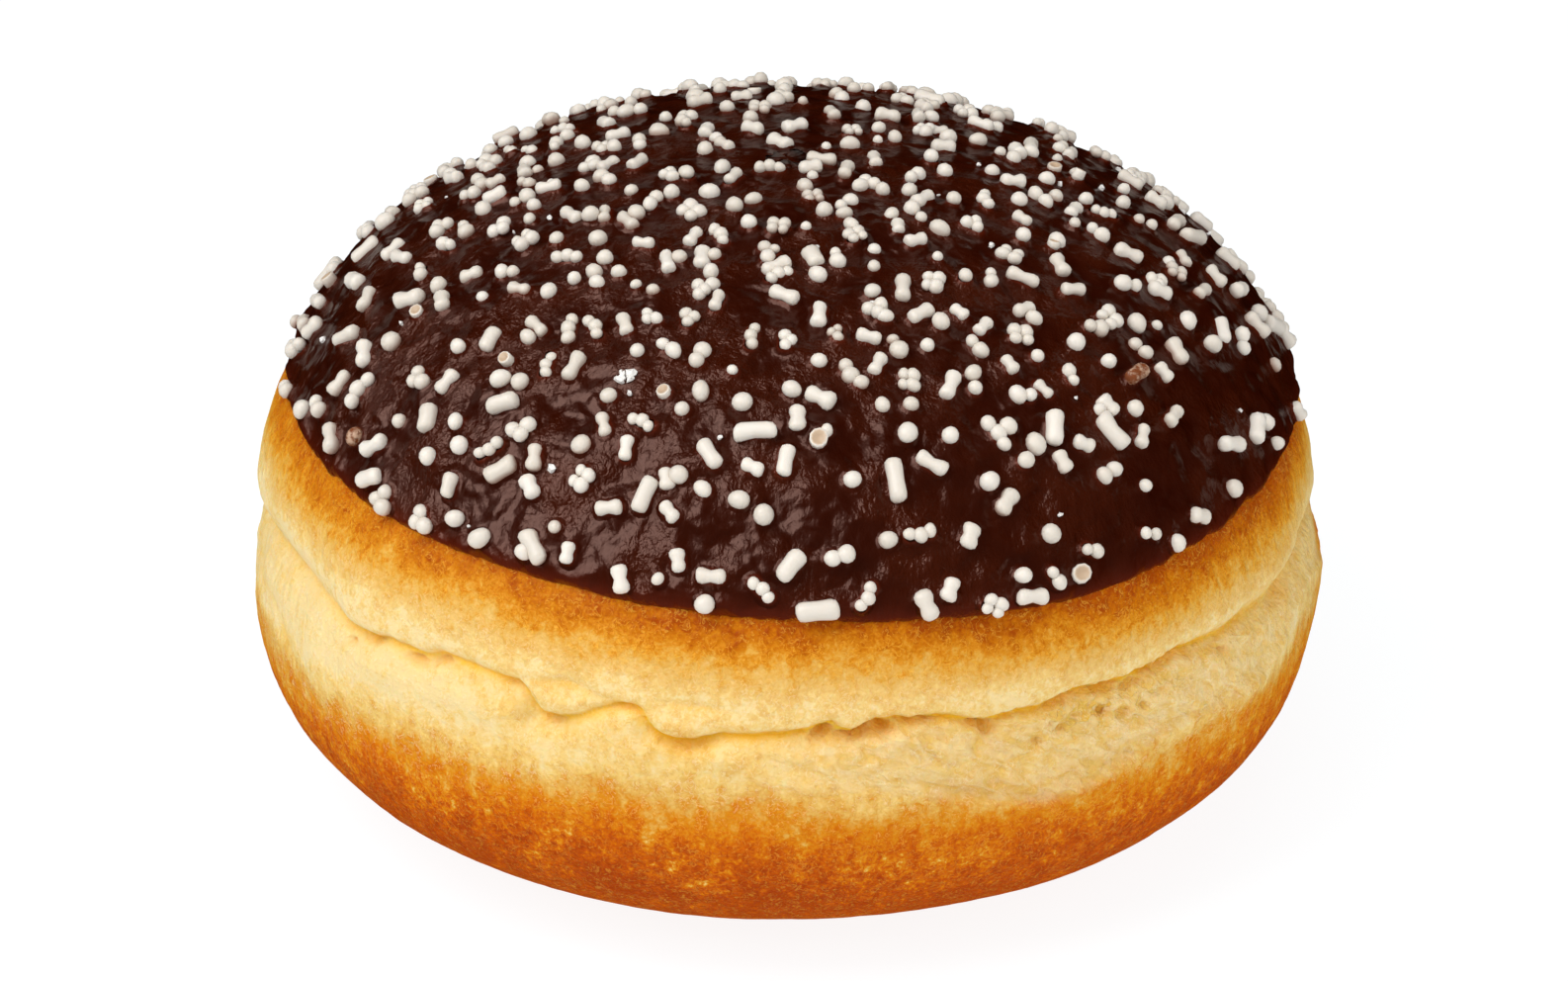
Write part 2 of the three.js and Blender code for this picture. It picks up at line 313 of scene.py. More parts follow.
# Open gaps under the lip: (azimuth, how far below the lip, half width, half height, depth), in mm.
GAPS = [
    (-141.6, 0.9, 0.3, 0.2, 0.8),
    (-138.2, 0.25, 1.3, 0.25, 0.7),
    (-131.9, 0.6, 1.0, 0.35, 1.0),
    (-128.4, 0.5, 1.1, 0.35, 1.0),
    (-119.0, 0.2, 1.2, 0.3, 0.5),
    (-114.6, 0.3, 1.6, 0.3, 0.6),
    (-106.6, 0.2, 1.6, 0.25, 0.56),
    (-100.2, 0.3, 2.4, 0.35, 0.56),
    (-86.6, 0.6, 0.9, 0.4, 1.57),
    (-83.5, 0.5, 1.4, 0.3, 1.23),
    (-80.3, 0.7, 0.8, 0.45, 1.93),
    (-82.2, 0.3, 0.6, 0.3, 1.4),
    (-77.0, 0.2, 1.5, 0.25, 0.79),
    (-69.2, 0.7, 0.55, 0.5, 1.75),
    (-70.5, 0.3, 0.7, 0.25, 1.05),
    (-63.7, 2.7, 0.5, 0.5, 0.79),
    (-61.0, 0.3, 1.6, 0.3, 0.7),
    (-53.0, 2.6, 0.65, 0.6, 0.96),
    (-55.8, 2.1, 0.6, 0.55, 0.79),
    (-50.6, 2.7, 0.35, 0.4, 0.61),
    (-51.9, 0.6, 0.9, 0.28, 0.88),
    (-55.5, 0.2, 1.6, 0.25, 0.7),
    (-59.2, 2.0, 0.5, 0.35, 0.61),
    (-60.9, 2.5, 0.4, 0.3, 0.61),
    (-57.7, 2.8, 0.35, 0.3, 0.53),
    (-62.1, 1.7, 0.3, 0.25, 0.53),
    (-48.5, 2.0, 0.6, 0.3, 0.44),
    (-46.5, 0.2, 2.0, 0.25, 0.7),
    (-38.0, 1.2, 0.45, 0.25, 0.88),
    (-24.0, 0.6, 2.5, 0.5, 0.8),
    (10.0, 0.5, 2.5, 0.5, 1.3),
    (35.0, 0.3, 2.8, 0.4, 1.4),
    (86.0, 0.4, 2.0, 0.5, 1.5),
    (104.0, 0.2, 1.6, 0.3, 1.0),
    (131.0, 0.4, 2.6, 0.4, 1.3),
    (170.0, 0.5, 2.0, 0.5, 1.2),
]


class Fold:
    """A line along which the dough's skin dips, sampled finely so that it can turn steeply."""

    def __init__(self, knots, sharp=0.6):
        if len(knots[0]) == 4:
            knots = [(*knot, sharp) for knot in knots]
        azimuths, *measures = np.array(knots).T
        steps = np.hypot(np.diff(np.radians(azimuths)) * GIRTH, np.diff(measures[0]) * MM)
        along = np.concatenate([[0], np.cumsum(steps)])
        samples = np.arange(0, along[-1], 0.08 * MM)
        weights = np.exp(-((np.arange(-12, 13) / 5.0) ** 2))
        weights /= weights.sum()

        def soften(values):
            line = np.interp(samples, along, values)
            return np.convolve(np.pad(line, 12, mode="edge"), weights, "valid")

        self.across = soften(np.radians(azimuths) * GIRTH)
        self.rises, self.depths, self.softness, self.sharp = [soften(values * MM) for values in measures]
        self.tree = KDTree(len(samples))
        for i, spot in enumerate(zip(self.across, self.rises)):
            self.tree.insert((*spot, 0), i)
        self.tree.balance()

    def measure(self, azimuth, rise):
        """The distance above the fold, and its own depth, softness and sharpness there."""
        across = azimuth * GIRTH
        nearest = np.array([self.tree.find((*spot, 0))[1] for spot in zip(across, rise)])
        ways = np.gradient(self.across), np.gradient(self.rises)
        ways = [way / np.hypot(*ways) for way in ways]
        aside, over = across - self.across[nearest], rise - self.rises[nearest]
        above = ways[0][nearest] * over - ways[1][nearest] * aside
        away = np.hypot(aside, over)
        own = self.depths[nearest], self.softness[nearest], self.sharp[nearest]
        return np.where(above < 0, -away, away), *own

    def dip(self, azimuth, rise):
        """How far the skin sinks in, and how much painted amber shade it gets next to the fold, from 0 to 1.
        """
        above, depth, softness, sharp = self.measure(azimuth, rise)
        over = np.clip(above, 0, 1)
        under = np.clip(above, -1, 0)
        lip = 0.85 * np.exp(-((over / sharp) ** 1.6)) + 0.15 * np.exp(-over / (1.2 * MM + sharp))
        shoulder = 0.5 * np.exp(under / (0.45 * softness)) + 0.5 * np.exp(under / (1.5 * softness))
        # painted shade: an amber band just under the lip, less where the lip is soft and a little less on the
        # left
        crease_shade_share = np.where(above > 0, np.exp(-over / (0.4 * sharp)), 1.3 * np.exp(under / (0.34 * MM)))
        crease_shade_share = np.minimum(crease_shade_share, 1) * np.clip(depth / (0.7 * MM), 0, 1)
        crease_shade_share *= np.clip(1.3 - sharp / (2 * MM), 0, 1) * (1 - 0.2 * bump_at(azimuth, -150, 25))
        return depth * np.where(above > 0, lip, shoulder), crease_shade_share


def dough_outline():
    """The dough's outline from the middle of its base to its crown: (radius, height) points, close
    together at the crease and far apart where the icing hides them."""
    base = [(share * BASE, -WAIST) for share in BASE_RINGS]
    start = math.asin((WAIST / BOWL_DEPTH) ** (BOWL_FULLNESS / 2))
    turns = [start * (1 - i / 48) for i in range(43)]
    bowl = [
        (GIRTH * math.cos(turn) ** (2 / BOWL_FULLNESS), -BOWL_DEPTH * math.sin(turn) ** (2 / BOWL_FULLNESS))
        for turn in turns
    ]
    rises, rise = [], bowl[-1][1]
    while rise < FOLDED_HIGH:
        away = abs(rise - CREASE_MEAN) / MM
        rise += (0.13 + 0.22 * min(max(away - 2.2, 0) / 1.5, 1)) * MM
        rises.append(rise)
    band = [(float(full_radius(np.array(rise))), rise) for rise in rises]
    shares = [0.12, 0.25, 0.4, 0.55, 0.7, 0.8, 0.88, 0.95]
    start = math.asin((rises[-1] / DOME_RISE) ** (DOME_FULLNESS / 2))
    turns = [start + share * (TURN / 4 - start) for share in shares]
    hidden = [
        (GIRTH * math.cos(turn) ** (2 / DOME_FULLNESS), DOME_RISE * math.sin(turn) ** (2 / DOME_FULLNESS))
        for turn in turns
    ]
    outline = [*base, *bowl, *band, *hidden, (0, DOME_RISE)]
    return [(radius, WAIST + rise) for radius, rise in outline]


def torn_share(azimuth, rise):
    """Where the skin below the crease is torn open and pale crumb shows, from 0 to 1."""
    degrees = np.degrees(azimuth)
    right = fade(-100, -80, degrees) * (1 - fade(-42, -22, degrees) * 0.6) * (1 - fade(-12, 14, degrees))
    back = 0.8 * bump_at(azimuth, 95, 28)
    left = 0.35 * bump_at(azimuth, -172, 14)
    inside = fade(-0.5 * MM, 0.5 * MM, rise - skin_edge_line(azimuth))
    return np.maximum(np.maximum(right, back), left) * inside


def out_of_round(azimuth):
    """How far the dough's girth stands out from a circle, in millimetres."""
    oval = 0.22 * np.cos(2 * azimuth - math.radians(30))
    return oval + 0.14 * np.cos(3 * azimuth + math.pi) + 0.08 * np.cos(5 * azimuth - math.radians(140))


def fold_dips(at, high):
    """How far the skin sinks in at the crease and the other folds, how much painted amber shade it
    gets next to them, its height above the crease, and the crease's depth there. The lip is jagged where it
    tore."""
    tearing = fade(-95, -80, np.degrees(at)) * (1 - fade(-40, -20, np.degrees(at)))
    ragged = 0.10 * rough(wrap(1, at, 0), 0.06, 2, seed=2)
    ragged += (0.10 + 0.12 * tearing) * rough(wrap(1, at, 0), 0.020, 3, seed=4)
    before = [(knot[0] - 360, *knot[1:]) for knot in CREASE[-3:]]
    after = [(knot[0] + 360, *knot[1:]) for knot in CREASE[:3]]
    crease = Fold(before + CREASE + after)  # it closes on itself
    above, depth, *_ = crease.measure(at, high + ragged * MM)
    sunk, in_crease = crease.dip(at, high + ragged * MM)
    for fold in OTHER_FOLDS:
        deeper, close = Fold(fold).dip(at, high)
        sunk += deeper
        # the other folds get a weaker share of the same painted shade
        in_crease = np.maximum(in_crease, 0.6 * close)
    return sunk, in_crease, above, depth


def spot_at(at, height, middle, middle_height, half_width, half_height):
    """1 at a spot on the dough's side, fading around it. The azimuth at is in radians, middle is in
    degrees, and the rest is in millimetres."""
    aside = (np.degrees(at) - middle) * math.radians(GIRTH / MM) / half_width
    return np.exp(-(aside**2) - ((height - middle_height) / half_height) ** 2)


def swelling(at, high):
    """How far the soft bulges stand out. The hollows count as less than nothing."""
    total = 0 * at
    for middle, height, half_width, half_height, out in SWELLINGS:
        total += out * MM * spot_at(at, high / MM, middle, height, half_width, half_height)
    return total


def gap_dips(at, above):
    """How far the open gaps under the lip go in, and how much painted shade each point gets inside them."""
    sunk, gap_shading = 0 * at, 0 * at
    for middle, below, half_width, half_height, drop in GAPS:
        window = spot_at(at, above / MM, middle, -below, half_width, half_height) * (above < 0.05 * MM)
        sunk += drop * MM * window
        gap_shading = np.maximum(gap_shading, window * min(drop / FULL_GAP_SHADE, 1))
    return sunk, gap_shading


def torn_dips(at, high, above):
    """How far the torn band sinks in, how torn each point is, and its place across the fibres. The
    skin below the band ends in a raised edge."""
    degrees, flat = np.degrees(at), round_point(GIRTH, at, high)
    torn = torn_share(at, high) * fade(0, 0.4 * MM, -above)
    edge_away = high - skin_edge_line(at) + 0.2 * MM * rough(wrap(1, at, 0), 0.03, 2, seed=9)
    edged = fade(-78, -60, degrees) * (1 - fade(0, 30, degrees)) + 0.6 * bump_at(at, 100, 30)
    ridge = np.where(edge_away > 0, np.exp(-edge_away / (0.25 * MM)), np.exp(edge_away / (1.6 * MM)))
    crumb = rough(flat, 1.3 * MM, 3, seed=7)
    strings = np.abs(rough(flat * (1, 1, 0.7), 1.6 * MM, 3, seed=17))
    lay = high / MM + 0.4 * GIRTH / MM * np.sin(at + math.radians(50))  # the fibres slant
    drapes = rough(wrap(7, at, lay / 1.5 + 0.3 * crumb), 1.0, 2, seed=27)
    walls = pores(flat + 0.4 * MM * crumb[:, None], 1.9 * MM, seed=3)
    sunk = torn * (0.24 - 0.35 * np.clip(walls - 0.2, -0.2, 0.3) - 0.12 * crumb - 0.15 * strings) * MM
    sunk -= torn * 0.36 * MM * drapes * fade(0.3 * MM, 1.5 * MM, -above)
    return sunk - 0.34 * MM * ridge * edged, torn, lay


def make_dough():
    outline = dough_outline()
    dough = spun("dough_skin", outline, FACETS)
    spots, rows = corners(dough), rows_of(dough)
    azimuth = np.arctan2(spots[:, 1], spots[:, 0])
    nominal = np.array(outline)[rows, 1] - WAIST
    underneath = rows < len(BASE_RINGS)

    # the rows near the crease follow its line, and those at the base and under the icing stay level
    follow = fade(-14 * MM, -4 * MM, nominal) * (1 - fade(6 * MM, FOLDED_HIGH, nominal))
    rise = nominal + follow * (crease_line(azimuth) - CREASE_MEAN)
    radius = full_radius(rise)
    still = fade(BASE, 1.5 * BASE, radius)  # the base stays flat and round
    radius += still * out_of_round(azimuth) * MM

    band = (nominal > FOLDED_LOW) & (nominal < FOLDED_HIGH)
    at, high = azimuth[band], rise[band]
    sunk, in_crease, above, depth = fold_dips(at, high)
    gap_depth, gap_shading = gap_dips(at, above)
    torn_depth, torn, lay = torn_dips(at, high, above)
    # the hollow just under the crease, which also gets a painted yellow shade
    valley = np.exp(-(((above / MM + 1.8) / 1.8) ** 2)) * (1 - torn)
    ripples = 0.09 * MM * valley * rough(wrap(34, at, high / (7 * MM)), 1.0, 3, seed=12)
    radius[band] -= sunk - swelling(at, high) + gap_depth + torn_depth - ripples

    whole = round_point(GIRTH, azimuth, rise)
    swell = rough(whole, 16 * MM, 2, seed=5) * 0.45 + rough(whole, 5 * MM, 2, seed=6) * 0.17
    swell *= 0.35 + 0.65 * fade(-9 * MM, -2 * MM, rise)
    radius += still * (swell + 0.045 * rough(whole, 1.3 * MM, 3, seed=8)) * MM
    rise[underneath] = -WAIST
    rise = np.maximum(rise, -WAIST)
    radius[underneath] = np.hypot(spots[:, 0], spots[:, 1])[underneath]
    moved = round_point(radius, azimuth, rise)
    moved[rows == rows.max()] = (0, 0, WAIST + DOME_RISE)
    move_corners(dough, moved)

    def over_band(values):
        full = np.zeros(len(spots))
        full[band] = values
        return full

    # how far each point lies into the browned dough under the icing, and into that below
    # painted light: the dough is painted paler on the left, where the key lamp falls
    palest_and_left_light = 0.12 - 0.12 * bump_at(azimuth, -145, 30)
    paint(dough, "upper_toast", np.clip(0.6 + (rise - upper_toast_line(azimuth)) / (7 * MM), palest_and_left_light, 1))
    paint(dough, "lower_toast", np.clip(0.35 + (lower_toast_line(azimuth) - rise) / (14 * MM), palest_and_left_light, 1))
    paint(dough, "below_crease", fade(-1.5 * MM, 1.5 * MM, CREASE_MEAN - nominal))
    paint(dough, "torn", over_band(torn))
    paint(dough, "lay", over_band(lay))
    porous = bump_at(at, -55, 11) * np.exp(-(((above / MM + 1.9) / 1.5) ** 2)) + 0.12
    paint(dough, "porous", over_band(torn * porous))
    # painted amber shade next to the crease and the other folds
    paint(dough, "in_crease", over_band(in_crease))
    # painted shade inside the open gaps under the lip
    paint(dough, "hole", over_band(gap_shading))
    # painted shade in the hollow under the crease, stronger where the crease is deep
    paint(dough, "valley", over_band(valley * np.clip(depth / (1.6 * MM), 0, 1)))
    return dough


# ---- the icing ----
ICING_REACH = 52 * MM  # from the icing's edge to the crown, along the dome
EDGE_LIFT = 0.12 * MM  # how far the outer face stands off the dough right at the icing's edge
EDGE_ROLL = 0.6 * MM  # how much more it rises as the edge rolls over
INNER_SINK = 0.3 * MM  # how far the inner face lies inside the dough


def icing_lift(share):
    """The height of the icing's outer face above the dough, thin at its edge."""
    roll = EDGE_ROLL * (1 - np.exp(-share * ICING_REACH / (0.4 * MM)))
    return EDGE_LIFT + roll + (ICING_TOP - EDGE_LIFT - EDGE_ROLL) * fade(0, 0.35, share)


def icing_outline():
    """Rows of (share, lift) from the crown down the outer face, round the edge and back inside."""
    shares, away = [0.0], 0.0
    while away < ICING_REACH:
        away += (0.12 + 0.36 * min(away / (2 * MM), 1)) * MM
        shares.append(min(away / ICING_REACH, 1))
    outer = [(share, float(icing_lift(np.array(share)))) for share in reversed(shares)]
    edge = [(0.0, 0.0), (0.0, -0.25 * MM)]
    inner = [(share, -INNER_SINK) for share in (0.02, 0.1, 0.25, 0.5, 0.75, 0.92, 1.0)]
    return [*outer, *edge, *inner]


def icing_sides(azimuth):
    """1 at the two sides, where the icing ran down in drips, and less at the front and back."""
    degrees = np.degrees(azimuth)
    right = fade(-62, -25, degrees) * (1 - fade(20, 60, degrees))
    left = 1 - fade(-160, -128, degrees) + fade(140, 175, degrees)
    return np.clip(0.12 + right + left, 0, 1)


def icing_relief(spots, azimuth, share):
    """How far the icing's face stands proud of its smooth dome: slow swells, small lumps, and
    drips that run down to the edge at the two sides."""
    swells = 0.20 * rough(spots, 8 * MM, 2, seed=21)
    lumps = 0.30 * rough(spots, 2.6 * MM, 2, seed=22) + 0.07 * rough(spots, 0.9 * MM, 2, seed=24)
    streams = rough(wrap(19, azimuth, share * 3.0), 1.0, 2, seed=23)
    runs = 0.42 * streams * icing_sides(azimuth) * np.exp(-share / 0.13)
    return (swells + lumps + runs) * MM * fade(0, 0.02, share)


def make_icing(sprinkles):
    outline = icing_outline()
    shares, lifts = np.array(outline).T
    flat_outline = []
    for share, lift in outline:
        spot, _ = dome(np.zeros(1), np.array([share]), np.array([lift]))
        flat_outline.append((0.0 if share == 1 else float(spot[0, 0]), float(spot[0, 2])))
    icing = spun("icing_coat", flat_outline, FACETS)
    spots, rows = corners(icing), rows_of(icing)
    azimuth = np.arctan2(spots[:, 1], spots[:, 0])
    share, lift = shares[rows], lifts[rows]
    outer = lift > 0
    smooth_spots, facing = dome(azimuth, share, lift)
    relief = icing_relief(smooth_spots, azimuth, share) * outer
    away = sprinkles.distance_to(smooth_spots)
    creep = 0.10 * MM * np.exp(-np.clip(away - 0.55 * MM, 0, 1) / (0.35 * MM)) * outer
    moved = smooth_spots + facing * (relief + creep * fade(0, 0.03, share))[:, None]
    moved[share == 1, :2] = 0
    # the edge is smooth at the front and scalloped at the sides
    round_line = wrap(1, azimuth, 0)
    ragged = 0.30 * rough(round_line, 0.12, 2, seed=31)
    ragged += 0.55 * rough(round_line, 0.045, 2, seed=32) * icing_sides(azimuth)
    fringe = 0.16 * rough(round_line, 0.022, 2, seed=33) * np.exp(-share * ICING_REACH / (0.5 * MM))
    moved[:, 2] += (ragged * np.exp(-share * ICING_REACH / (3 * MM)) + fringe) * MM
    move_corners(icing, moved)
    near_edge = np.exp(-share * ICING_REACH / (0.9 * MM))
    near_sugar = np.exp(-np.clip(away - 0.6 * MM, 0, 1) / (0.25 * MM))
    paint(icing, "thin", np.maximum(near_edge, 0.06 * near_sugar))
    return icing


# ---- the sprinkles ----
SUGAR_THICKNESS = 1.38 * MM
SPRINKLE_COUNT = 595  # without the coated ones
CRUMB_COUNT = 34  # loose ones, to which the crushed sprinkles add theirs
CRUSHED_CRUMBS = 16  # at most, from each crushed sprinkle
SUNK = 0.22  # share of its thickness by which a sprinkle sits in the icing
LOWEST_SHARE, HIGHEST_SHARE = 0.013, 0.995  # how far up the icing sprinkles lie
CROWDED = 1.3 * MM  # what needs no more room than this is never thinned out
# Places on the icing, as azimuths in degrees and shares of the way up to the crown.
COATED_PLACES = [(-149, 0.10), (-38, 0.33), (-97, 0.55), (25, 0.2), (120, 0.4), (-175, 0.5)]
CRUSHED_PLACES = [(-115, 0.42), (-72, 0.62), (60, 0.35)]
# The rims that climb the sprinkles, from inside out: (outwards in mm, up in mm, how thin).
RIM_STEPS = [(-0.14, 0.22, 0.8), (0.0, 0.13, 0.35), (0.12, 0.06, 0.10), (0.28, 0.02, 0.03), (0.5, -0.06, 0.0)]


def rod_outline(length, waist, thickness=SUGAR_THICKNESS):
    """Half thickness against length for a rod with rounded, slightly swollen ends."""
    half, end = thickness / 2, length / 2
    tip = [(0, 0), (0.60, 0.09), (0.92, 0.36), (1.0, 0.85)]
    left = [(out * half, -end + along * half) for out, along in tip]
    return [*left, (waist * half, 0), *((out, -along) for out, along in reversed(left))]


def pearl_outline(length, thickness=SUGAR_THICKNESS):
    turns = np.linspace(0, math.pi, 8)
    return [(math.sin(turn) * thickness / 2, -math.cos(turn) * length / 2) for turn in turns]


def broken_outline(length):
    """A rod snapped off at its top, with a hollow in the break."""
    half, end = SUGAR_THICKNESS / 2, length / 2
    steps = [(0.7, -end + 0.15 * half), (0.98, -end + 0.7 * half), (0.98, end - 0.15 * half)]
    steps += [(0.90, end), (0.66, end - 0.02 * half), (0.40, end - 0.25 * half)]
    return [(0, -end), *((out * half, along) for out, along in steps), (0, end - 0.3 * half)]


def shard_outline(length):
    steps = [(0.0, -0.5), (0.38, -0.3), (0.5, 0.1), (0.25, 0.42), (0.0, 0.5)]
    return [(out * length, along * length) for out, along in steps]


# Small balls that grew together: (across, up, along, size) of each, in mm and as a share of a ball.
CLUSTERS = [
    [(0, 0, -0.56, 1.0), (0.05, 0, 0.55, 0.92), (0.62, 0.05, 0.02, 0.88)],
    [(-0.12, 0, -0.85, 0.9), (0.1, 0.02, 0.02, 1.0), (-0.1, 0, 0.86, 0.84)],
    [(0, 0, -0.55, 1.0), (0.15, 0, 0.62, 0.8), (0.66, 0, -0.2, 0.76), (-0.5, 0.04, 0.25, 0.95)],
    [(0, 0, -0.45, 1.08), (0.1, 0.1, 0.5, 0.8)],
]


class Shape:
    """One small shape, kept as arrays so that many copies can be joined in one mesh."""

    def __init__(self, outline, facets=10, balls=()):
        pattern = spun("pattern", outline, facets)
        self.spots = corners(pattern)
        self.rows = rows_of(pattern)
        self.faces = [tuple(face.vertices) for face in pattern.data.polygons]
        self.thickness = 2 * max(out for out, along in outline)
        bpy.data.objects.remove(pattern)
        if balls:
            count = len(self.spots)
            self.spots = np.concatenate([self.spots * size + np.array(place) * MM for *place, size in balls])
            self.faces = [
                tuple(corner + i * count for corner in face) for i in range(len(balls)) for face in self.faces
            ]
            self.rows = np.tile(self.rows, len(balls))
        self.length = float(np.ptp(self.spots[:, 2]))

    def lobes(self, spot, way):
        """The middles of the round parts that make up the shape."""
        reach = max(self.length - SUGAR_THICKNESS, 0) / 2
        return [spot + way * offset for offset in ((-reach, 0, reach) if reach > 0.2 * MM else (0,))]


class Sprinkle:
    """One sprinkle: its kind and shape, its place on the icing and the way it points."""

    def __init__(self, kind, shape, azimuth, share, turn, luck):
        self.kind, self.shape, self.luck = kind, shape, luck
        self.azimuth, self.share, self.turn = azimuth, share, turn
        spots, facing = dome(np.array([azimuth]), np.array([share]), np.zeros(1))
        self.lie(spots[0], facing[0])

    def lie(self, spot, facing):
        """Lays the sprinkle down on a spot of the icing."""
        east = np.array([-math.sin(self.azimuth), math.cos(self.azimuth), 0])
        way = east * math.cos(self.turn) + np.cross(facing, east) * math.sin(self.turn)
        self.spot, self.way, self.side, self.up = spot, way, np.cross(facing, way), facing

    def lobes(self):
        return self.shape.lobes(self.spot, self.way)

    def body(self, draw, seed):
        """The shape's points, made a little uneven. A crumb is much more so."""
        body = self.shape.spots * draw.uniform(0.86, 1.12) * (1.02 - 0.1 * fade(0.15, 0.6, self.share))
        crumb = self.kind == "sugar_crumbs"
        spread = (0.4, 0.4, 0.4) if crumb else (0.09, 0.08, 0.08)
        body = body * [draw.uniform(1 - share, 1 + share) for share in spread]
        if crumb:
            body *= (1 + 0.5 * rough(body * 3 + 40 * MM * self.luck, 0.4 * MM, 2, seed=3))[:, None]
            return body
        uneven = rough(body + 50 * MM * self.luck, 1.4 * MM, 1, seed=seed)
        body[:, 0] += draw.uniform(-85, 85) * body[:, 2] ** 2
        body *= (1 + 0.13 * uneven)[:, None]
        body[:, :2] *= 1 + draw.uniform(-0.09, 0.09) * body[:, 2:] / (self.shape.length / 2)
        return body

    def stance(self, draw):
        """The height of the shape's middle above the icing, and its three axes."""
        sunk = SUNK * draw.uniform(0.5, 1.4)
        if self.kind == "sugar_broken":  # it stands on end
            lean = self.up + 0.35 * self.way * draw.uniform(-1, 1) + 0.35 * self.side * draw.uniform(-1, 1)
            lean /= np.linalg.norm(lean)
            across = np.cross(lean, self.way)
            return self.shape.length / 2 - sunk * SUGAR_THICKNESS, (np.cross(across, lean), across, lean)
        height = 0.12 * MM if self.kind == "sugar_crumbs" else self.shape.thickness * (0.5 - sunk)
        return height, (self.side, self.up, self.way)


def sparse_band(share):
    """1 in the sparse band low on the icing, fading above and below it."""
    return math.exp(-(((share - 0.15) / 0.08) ** 2))


class Sprinkles:
    """All the sprinkles, laid out over the icing with room between most of them."""

    def __init__(self):
        self.draw = random.Random(11)
        self.kinds = {
            "sugar_rods": [
                Shape(rod_outline(mm * MM, waist)) for mm, waist in ((2.3, 0.93), (2.65, 0.90), (3.0, 0.92))
            ],
            "sugar_twins": [
                Shape(rod_outline(mm * MM, waist, 1.28 * MM))
                for mm, waist in ((1.95, 0.80), (2.2, 0.72), (2.45, 0.76))
            ],
            "sugar_pearls": [
                Shape(pearl_outline(length * MM, thickness * MM))
                for length, thickness in ((1.25, 1.38), (1.45, 1.45), (1.6, 1.4), (1.1, 1.1))
            ],
            "sugar_clusters": [Shape(pearl_outline(1.25 * MM, 1.25 * MM), 9, balls) for balls in CLUSTERS],
            "sugar_broken": [Shape(broken_outline(mm * MM), 10) for mm in (1.0, 1.3)],
            "coated_sprinkles": [Shape(rod_outline(2.2 * MM, 0.9)), Shape(pearl_outline(1.6 * MM))],
            "sugar_crumbs": [Shape(shard_outline(mm * MM), 5) for mm in (0.3, 0.45, 0.75)],
        }
        self.placed, self.taken = [], np.zeros((0, 3))
        shares = np.linspace(LOWEST_SHARE, HIGHEST_SHARE, 400)
        slope = dome(0 * shares, shares, 0 * shares)[0]
        step = np.hypot(np.gradient(slope[:, 0]), np.gradient(slope[:, 2]))
        area = np.cumsum(slope[:, 0] * step)
        self.spread = area / area[-1], shares
        self.scatter()

    def anywhere(self):
        """A random place on the icing, as azimuth and share, even over its area."""
        share = float(np.interp(self.draw.random(), *self.spread))
        return self.draw.uniform(-math.pi, math.pi), share

    def add(self, kind, azimuth, share, room):
        """Adds a sprinkle if it keeps its distance from the others. They are thinned out at the
        sides low down, in the band low on the icing, at the back and, a little, above the edge."""
        draw = self.draw
        shape = draw.choice(self.kinds[kind])
        turn = draw.uniform(0, TURN)
        if draw.random() < 0.5 and share < 0.5:
            turn = math.radians(draw.gauss(90, 32))  # many lie up and down the slope
        one = Sprinkle(kind, shape, azimuth, share, turn, draw.random())
        lobes = np.array(one.lobes())
        lowest = WAIST + float(icing_line(np.array(azimuth))) + 0.36 * SUGAR_THICKNESS
        side = math.cos(azimuth) ** 2
        sparse = 0.48 * side * (1 - fade(0.3, 0.7, share)) + 0.35 * sparse_band(share) * (1 - 0.5 * side)
        sparse += 0.4 * max(math.sin(azimuth), 0) + 0.1 * (share > 0.06)
        if room > CROWDED and draw.random() < sparse:
            return False
        if share > HIGHEST_SHARE or lobes[:, 2].min() < lowest:
            return False
        if len(self.taken):
            gaps = np.linalg.norm(lobes[:, None] - self.taken[None], axis=2)
            if gaps.min() < room:
                return False
        if kind != "sugar_crumbs":
            self.taken = np.concatenate([self.taken, lobes])
        self.placed.append(one)
        return True

    def scatter(self):
        draw = self.draw
        singles = ("sugar_rods", "sugar_twins", "sugar_pearls", "sugar_clusters", "sugar_broken")
        count = 0
        while count < SPRINKLE_COUNT:
            azimuth, share = self.anywhere()
            low = 1 - fade(0.15, 0.5, share)
            weights = (2 + 28 * low, 20 + 8 * low, 40 - 8 * low, 32 - 18 * low, 1.6)
            kind = draw.choices(singles, weights=weights)[0]
            if not self.add(kind, azimuth, share, (1.4 + draw.random() ** 2 * 0.8) * MM):
                continue
            count += 1
            # some touch a neighbour, most of all high on the dome
            while draw.random() < 0.40 - 0.10 * low:
                turn, push = draw.uniform(0, TURN), draw.uniform(1.0, 1.4) * MM
                beside = azimuth + math.cos(turn) * push / (GIRTH * math.cos(share * TURN / 4) + 4 * MM)
                kind = draw.choices(("sugar_twins", "sugar_pearls", "sugar_clusters"), weights=(2, 5, 1))[0]
                count += self.add(kind, beside, share + math.sin(turn) * push / ICING_REACH, 0.92 * MM)
        for azimuth, share in COATED_PLACES:
            self.add("coated_sprinkles", math.radians(azimuth), share, CROWDED)
        crumbs = 0
        while crumbs < CRUMB_COUNT:
            crumbs += self.add("sugar_crumbs", *self.anywhere(), 1.05 * MM)
        for azimuth, share in CRUSHED_PLACES:
            for _ in range(CRUSHED_CRUMBS):
                beside = math.radians(azimuth) + draw.gauss(0, 0.32) * MM / (34 * MM)
                self.add("sugar_crumbs", beside, share + draw.gauss(0, 0.3) * MM / ICING_REACH, 0.75 * MM)

